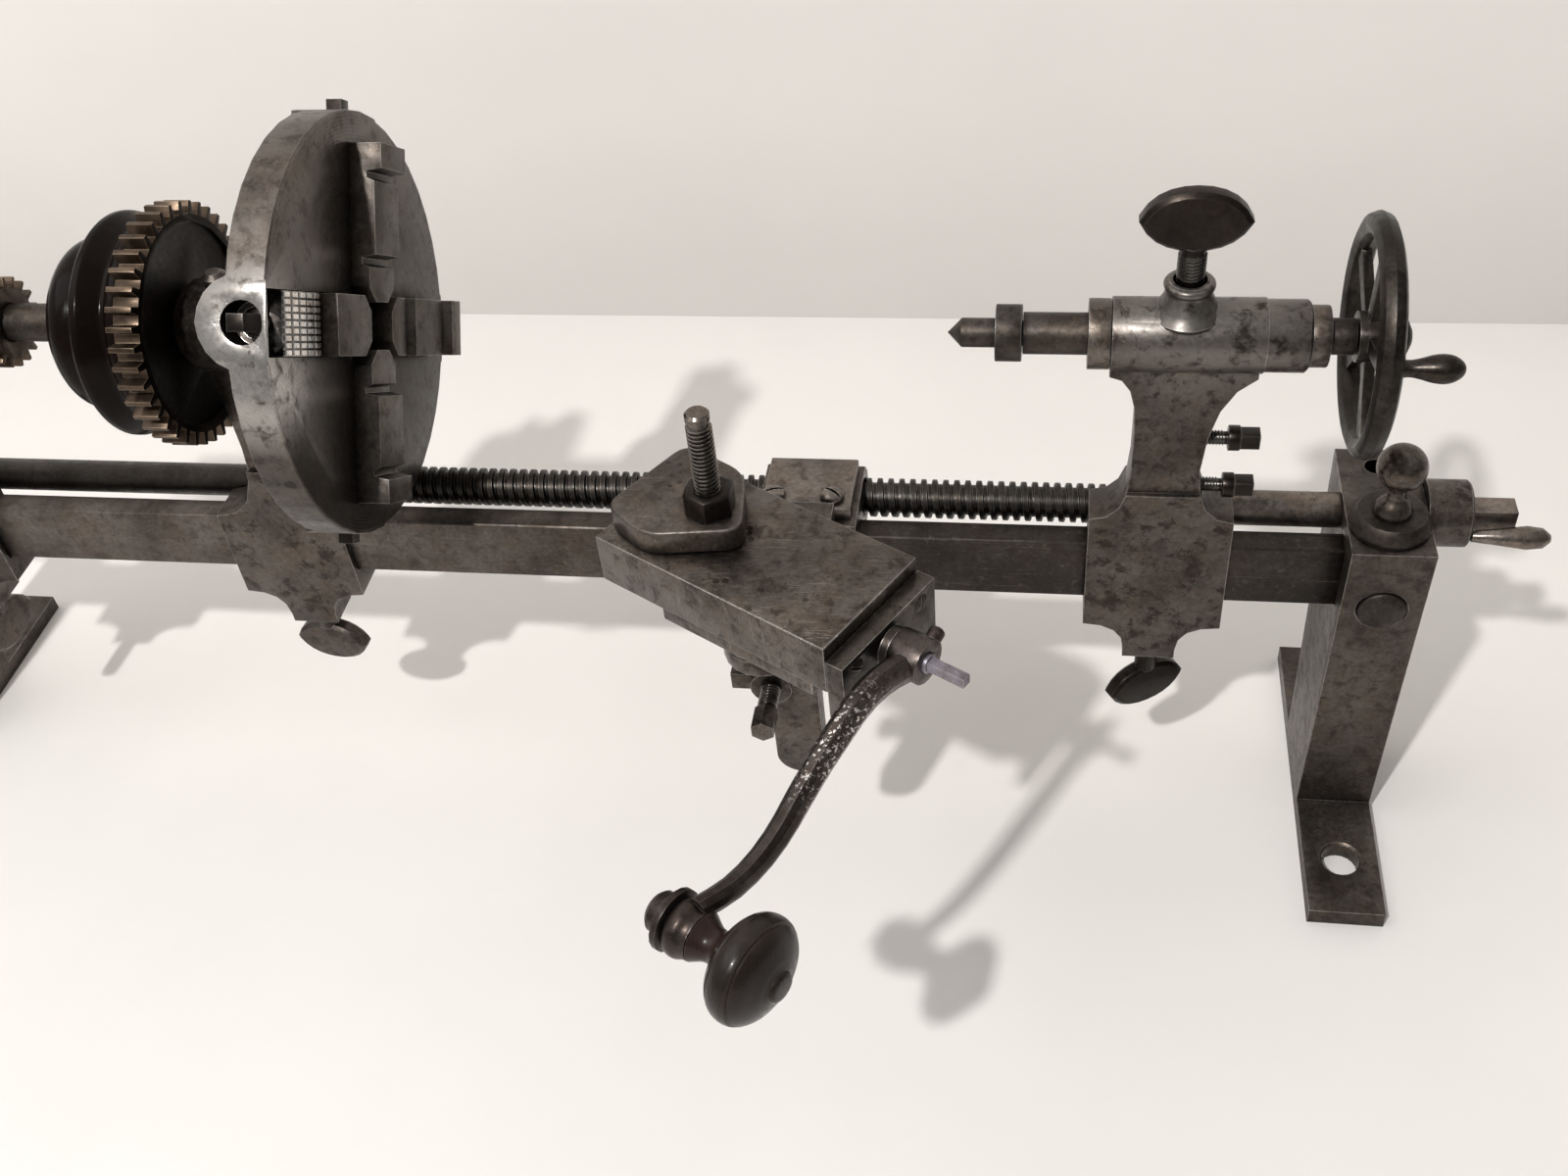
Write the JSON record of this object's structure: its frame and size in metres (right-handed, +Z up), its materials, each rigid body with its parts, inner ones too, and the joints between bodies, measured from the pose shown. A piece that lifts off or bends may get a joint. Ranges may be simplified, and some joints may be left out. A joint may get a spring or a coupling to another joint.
{
  "type": "bar-bed lathe",
  "caption": "Antique clockmaker's bar-bed lathe with cone pulley and gears on the spindle, independent-jaw chuck, lead screw, swivelling slide rest with crank, and tailstock with handwheel.",
  "frame": {"origin": "on the table under the spindle axis, midway across the left foot", "axes": "+X along the bed from headstock to tailstock, +Y away from the operator, +Z up"},
  "size_m": [0.6843, 0.2907, 0.291],
  "materials": {
    "aged_steel": "aged steel, mottled brown-grey with worn bright edges",
    "bright_steel": "worn bright steel",
    "black_steel": "blackened steel, satin",
    "bronze": "oily bronze with bright tooth edges",
    "black_pulley": "glossy black",
    "dark_knob": "dark polished turned wood",
    "square_steel": "pale grey file-worn steel"
  },
  "bodies": {
    "bed": {"bed_bar": "aged_steel", "left_leg": "aged_steel", "right_leg": "aged_steel", "left_leg_screw": "aged_steel", "right_leg_screw": "aged_steel", "lock_collar": "aged_steel", "head_front_poppet": "aged_steel", "head_oil_cap": "aged_steel", "head_rear_poppet": "aged_steel"},
    "leadscrew": {"lead_screw": "aged_steel", "lead_screw_hub": "aged_steel", "lead_screw_pin": "black_steel"},
    "lock": {"lock_knob": "black_steel"},
    "head_clamp_front": {"head_front_clamp": "black_steel"},
    "head_clamp_rear": {"head_rear_clamp": "black_steel"},
    "headspindle": {"spindle": "aged_steel", "small_gear": "bronze", "cone_pulley": "black_pulley", "bull_gear": "bronze", "chuck_body": "aged_steel"},
    "jawscrew_top": {"jaw_screw_top": "aged_steel"},
    "jaw_top": {"jaw_top": "aged_steel"},
    "jawscrew_front": {"jaw_screw_front": "aged_steel"},
    "jaw_front": {"jaw_front": "aged_steel", "jaw_knurl": "bright_steel"},
    "jawscrew_bottom": {"jaw_screw_bottom": "aged_steel"},
    "jaw_bottom": {"jaw_bottom": "aged_steel"},
    "jawscrew_rear": {"jaw_screw_rear": "aged_steel"},
    "jaw_rear": {"jaw_rear": "aged_steel"},
    "saddle": {"carriage": "aged_steel", "nut_cap": "aged_steel", "nut_cap_screw_1": "aged_steel", "nut_cap_screw_2": "aged_steel", "carriage_side_bolt": "black_steel", "carriage_front_bolt": "black_steel"},
    "swivel": {"slide_base": "aged_steel"},
    "slide": {"top_slide": "aged_steel", "end_plate": "aged_steel", "end_screw_1": "aged_steel", "end_screw_2": "aged_steel", "clamp_stud": "aged_steel"},
    "toolclamp": {"clamp_plate": "bright_steel"},
    "toolnut": {"clamp_nut": "black_steel"},
    "feed": {"feed_screw": "square_steel", "crank": "aged_steel"},
    "handknob": {"crank_knob": "dark_knob"},
    "tail": {"tail_poppet": "aged_steel", "tail_side_screw_1": "black_steel", "tail_side_screw_2": "black_steel", "quill_gland": "aged_steel", "tail_cap": "aged_steel"},
    "tail_clamp_screw": {"tail_clamp": "black_steel"},
    "quill_lock_screw": {"quill_lock": "black_steel"},
    "tailquill": {"quill": "aged_steel", "quill_ring": "aged_steel", "tail_centre": "aged_steel"},
    "handwheel": {"tail_screw": "aged_steel", "tail_wheel": "black_steel", "wheel_handle": "black_steel"}
  },
  "joints": [
    {"name": "lead_screw_turn", "type": "hinge", "parent": "bed", "child": "leadscrew", "pos_m": [0.3, 0.016, 0.136], "axis": [1, 0, 0], "range_deg": [-6121, 6121]},
    {"name": "lock_knob_turn", "type": "hinge", "parent": "bed", "child": "lock", "pos_m": [0.6067, 0, 0.15], "axis": [0, 0, 1], "range_deg": [-180, 180]},
    {"name": "head_front_clamp_turn", "type": "hinge", "parent": "bed", "child": "head_clamp_front", "pos_m": [0.2048, 0, 0.08], "axis": [0, 0, 1], "range_deg": [-90, 90]},
    {"name": "head_rear_clamp_turn", "type": "hinge", "parent": "bed", "child": "head_clamp_rear", "pos_m": [0.056, 0, 0.08], "axis": [0, 0, 1], "range_deg": [-90, 90]},
    {"name": "spindle_turn", "type": "hinge", "parent": "bed", "child": "headspindle", "pos_m": [0.2, 0, 0.22], "axis": [1, 0, 0], "continuous": true},
    {"name": "jaw_screw_top_turn", "type": "hinge", "parent": "headspindle", "child": "jawscrew_top", "pos_m": [0.2525, 0.02294, 0.25277], "axis": [0, 0.5736, 0.8192], "range_deg": [-361, 1]},
    {"name": "jaw_top_slide", "type": "slide", "parent": "headspindle", "child": "jaw_top", "axis": [0, 0.5736, 0.8192], "range_m": [-0.0015, 0]},
    {"name": "jaw_screw_front_turn", "type": "hinge", "parent": "headspindle", "child": "jawscrew_front", "pos_m": [0.2525, -0.03277, 0.24294], "axis": [0, -0.8192, 0.5736], "range_deg": [-361, 1801]},
    {"name": "jaw_front_slide", "type": "slide", "parent": "headspindle", "child": "jaw_front", "axis": [0, -0.8192, 0.5736], "range_m": [-0.0015, 0.0075]},
    {"name": "jaw_screw_bottom_turn", "type": "hinge", "parent": "headspindle", "child": "jawscrew_bottom", "pos_m": [0.2525, -0.02294, 0.18723], "axis": [0, -0.5736, -0.8192], "range_deg": [-361, 1]},
    {"name": "jaw_bottom_slide", "type": "slide", "parent": "headspindle", "child": "jaw_bottom", "axis": [0, -0.5736, -0.8192], "range_m": [-0.0015, 0]},
    {"name": "jaw_screw_rear_turn", "type": "hinge", "parent": "headspindle", "child": "jawscrew_rear", "pos_m": [0.2525, 0.03277, 0.19706], "axis": [0, 0.8192, -0.5736], "range_deg": [-361, 1]},
    {"name": "jaw_rear_slide", "type": "slide", "parent": "headspindle", "child": "jaw_rear", "axis": [0, 0.8192, -0.5736], "range_m": [-0.0015, 0]},
    {"name": "carriage_slide", "type": "slide", "parent": "bed", "child": "saddle", "axis": [1, 0, 0], "range_m": [-0.068, 0.068]},
    {"name": "swivel_turn", "type": "hinge", "parent": "saddle", "child": "swivel", "pos_m": [0.40387, -0.07653, 0.156], "axis": [0, 0, 1], "range_deg": [-20, 20]},
    {"name": "top_slide_feed", "type": "slide", "parent": "swivel", "child": "slide", "axis": [0.8652, -0.5015, 0], "range_m": [-0.0045, 0.0315]},
    {"name": "feed_screw_turn", "type": "hinge", "parent": "slide", "child": "feed", "pos_m": [0.45145, -0.10411, 0.18], "axis": [0.8652, -0.5015, 0], "range_deg": [-1081, 7561]},
    {"name": "crank_knob_turn", "type": "hinge", "parent": "feed", "child": "handknob", "pos_m": [0.41045, -0.19478, 0.1564], "axis": [0.8652, -0.5015, 0], "continuous": true},
    {"name": "tool_clamp_turn", "type": "hinge", "parent": "slide", "child": "toolclamp", "pos_m": [0.39114, -0.06938, 0.198], "axis": [0, 0, 1], "continuous": true},
    {"name": "clamp_nut_turn", "type": "hinge", "parent": "slide", "child": "toolnut", "pos_m": [0.39114, -0.06938, 0.205], "axis": [0, 0, 1], "range_deg": [-360, 360]},
    {"name": "tailstock_slide", "type": "slide", "parent": "bed", "child": "tail", "axis": [1, 0, 0], "range_m": [-0.06, 0.03]},
    {"name": "tail_clamp_turn", "type": "hinge", "parent": "tail", "child": "tail_clamp_screw", "pos_m": [0.5305, 0, 0.08], "axis": [0, 0, 1], "range_deg": [-90, 90]},
    {"name": "quill_lock_turn", "type": "hinge", "parent": "tail", "child": "quill_lock_screw", "pos_m": [0.5328, 0, 0.25], "axis": [0, 0, 1], "range_deg": [-90, 90]},
    {"name": "handwheel_turn", "type": "hinge", "parent": "tail", "child": "handwheel", "pos_m": [0.5886, 0, 0.22], "axis": [1, 0, 0], "range_deg": [-3241, 3241]},
    {"name": "quill_slide", "type": "slide", "parent": "tail", "child": "tailquill", "axis": [1, 0, 0], "range_m": [-0.018, 0.018]}
  ],
  "couplings": [
    {"joint": "jaw_screw_top_turn", "follows": "jaw_top_slide", "rad_per_m": 4188.8},
    {"joint": "jaw_screw_front_turn", "follows": "jaw_front_slide", "rad_per_m": 4188.8},
    {"joint": "jaw_screw_bottom_turn", "follows": "jaw_bottom_slide", "rad_per_m": 4188.8},
    {"joint": "jaw_screw_rear_turn", "follows": "jaw_rear_slide", "rad_per_m": 4188.8},
    {"joint": "lead_screw_turn", "follows": "carriage_slide", "rad_per_m": -1570.8},
    {"joint": "feed_screw_turn", "follows": "top_slide_feed", "rad_per_m": 4188.8},
    {"joint": "handwheel_turn", "follows": "quill_slide", "rad_per_m": 3141.6}
  ]
}
